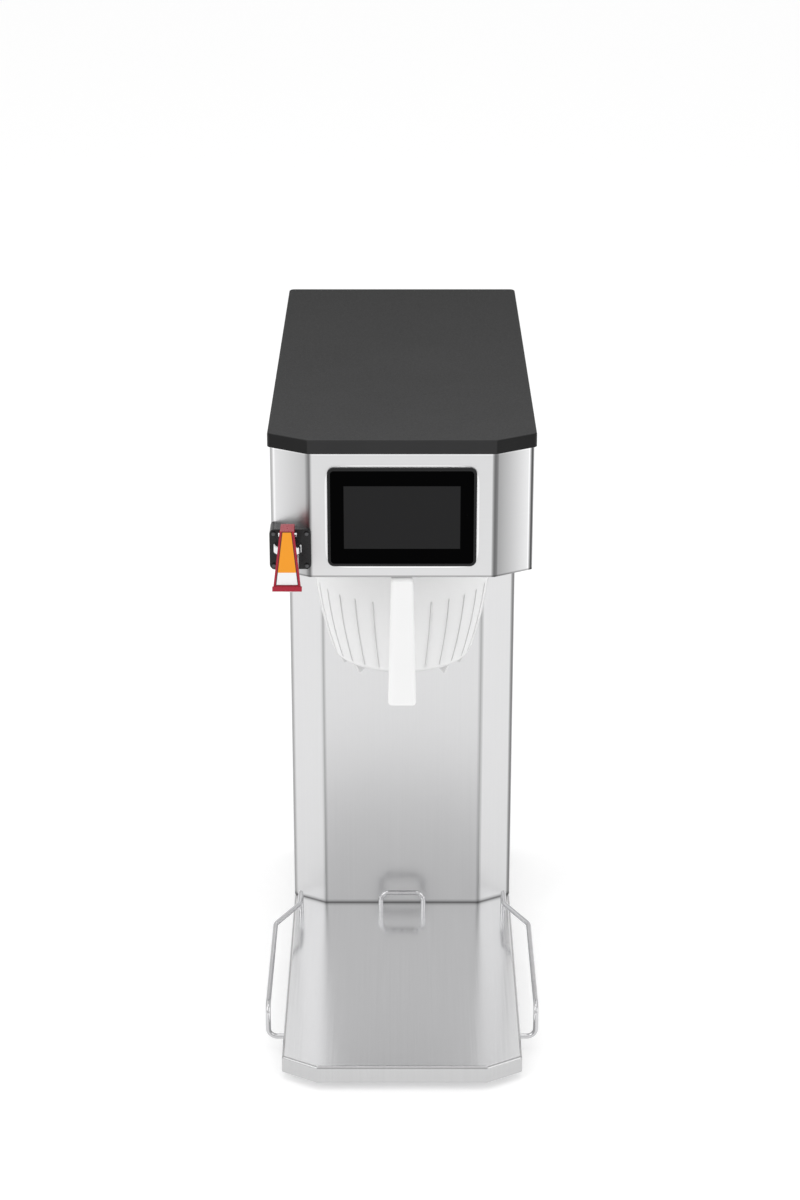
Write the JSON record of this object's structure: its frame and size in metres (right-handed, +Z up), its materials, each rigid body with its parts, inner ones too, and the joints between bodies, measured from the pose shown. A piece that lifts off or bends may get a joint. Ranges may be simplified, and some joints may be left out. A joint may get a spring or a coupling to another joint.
{
  "type": "tea maker",
  "caption": "Tall automatic tea maker: hood with touch screen, slide-in brew basket, hot-water faucet with a lever, and a base with guide wires for the dispenser.",
  "frame": {"origin": "middle of the overall box, on the surface that the feet stand on", "axes": "+X to the user's right, +Y to the back, +Z up; the screen faces -Y"},
  "size_m": [0.2488, 0.5362, 0.6095],
  "materials": {
    "stainless": "brushed stainless sheet",
    "inner_steel": "plain mill finish",
    "wire_steel": "polished stainless wire",
    "screw_steel": "plain steel",
    "cover_plastic": "dark grey, fine texture",
    "black_plastic": "satin black",
    "screen_glass": "black cover glass",
    "chrome": "bright chrome",
    "red_plastic": "gloss red",
    "inlay": "plain orange and white inlay",
    "white_plastic": "white, slightly translucent",
    "rubber": "black rubber",
    "silicone": "translucent silicone",
    "brass": "machined brass",
    "circuit_board": "green solder mask"
  },
  "bodies": {
    "housing": {"base_plate": "stainless", "base_bottom": "inner_steel", "rubber_feet": "rubber", "rear_stop_wire": "wire_steel", "right_guide_wire": "wire_steel", "left_guide_wire": "wire_steel", "column_wrap": "stainless", "hood_wrap": "stainless", "hood_floor": "stainless", "body_screws": "screw_steel", "rear_panel": "stainless", "rear_screws": "screw_steel", "top_cover": "cover_plastic", "display_bezel": "black_plastic", "display_glass": "screen_glass", "display_module": "black_plastic", "display_screws": "screw_steel", "control_board": "circuit_board", "board_standoffs": "screw_steel", "basket_rails": "stainless", "rail_screws": "screw_steel", "spray_head": "white_plastic", "spray_elbow": "white_plastic", "brew_valve": "black_plastic", "brew_hose": "silicone", "dilution_nozzle": "white_plastic", "dilution_hose": "silicone", "water_tank": "inner_steel", "tank_gasket": "silicone", "tank_lid": "inner_steel", "lid_screws": "screw_steel", "heating_element": "inner_steel", "temperature_probe": "inner_steel", "level_probe": "inner_steel", "limit_thermostat": "black_plastic", "tank_shelf": "inner_steel", "inlet_fitting": "brass", "inlet_valve": "black_plastic", "fill_hose": "silicone", "faucet_hose": "silicone", "heater_relay": "inner_steel", "terminal_block": "white_plastic", "cable_gland": "black_plastic", "power_switch": "black_plastic", "faucet_mount": "black_plastic", "faucet_mount_screws": "screw_steel", "faucet_body": "chrome", "faucet_nut": "brass", "faucet_bonnet": "chrome", "faucet_spring": "wire_steel"},
    "valve_stem": {"faucet_stem": "inner_steel", "seat_cup": "silicone", "lever_pin": "chrome"},
    "lever": {"faucet_handle": "red_plastic", "handle_inlay": "inlay"},
    "basket": {"brew_basket": "white_plastic", "basket_grip": "white_plastic", "filter_insert": "wire_steel"},
    "rocker": {"power_rocker": "black_plastic"}
  },
  "joints": [
    {"name": "basket_slide", "type": "slide", "parent": "housing", "child": "basket", "axis": [0, -1, 0], "range_m": [0, 0.25]},
    {"name": "stem_lift", "type": "slide", "parent": "housing", "child": "valve_stem", "axis": [0, 0, 1], "range_m": [0, 0.00229], "deforming": ["faucet_spring"]},
    {"name": "lever_hinge", "type": "hinge", "parent": "valve_stem", "child": "lever", "pos_m": [-0.093, -0.24114, 0.5332], "axis": [-1, 0, 0], "range_deg": [0, 35], "stiffness_Nm_per_rad": 0.05, "springref_deg": -11.46},
    {"name": "rocker_hinge", "type": "hinge", "parent": "housing", "child": "rocker", "pos_m": [0.062, 0.24906, 0.068], "axis": [-1, 0, 0], "range_deg": [0, 20]}
  ],
  "couplings": [
    {"joint": "lever_hinge", "follows": "stem_lift", "rad_per_m": 266.25}
  ]
}
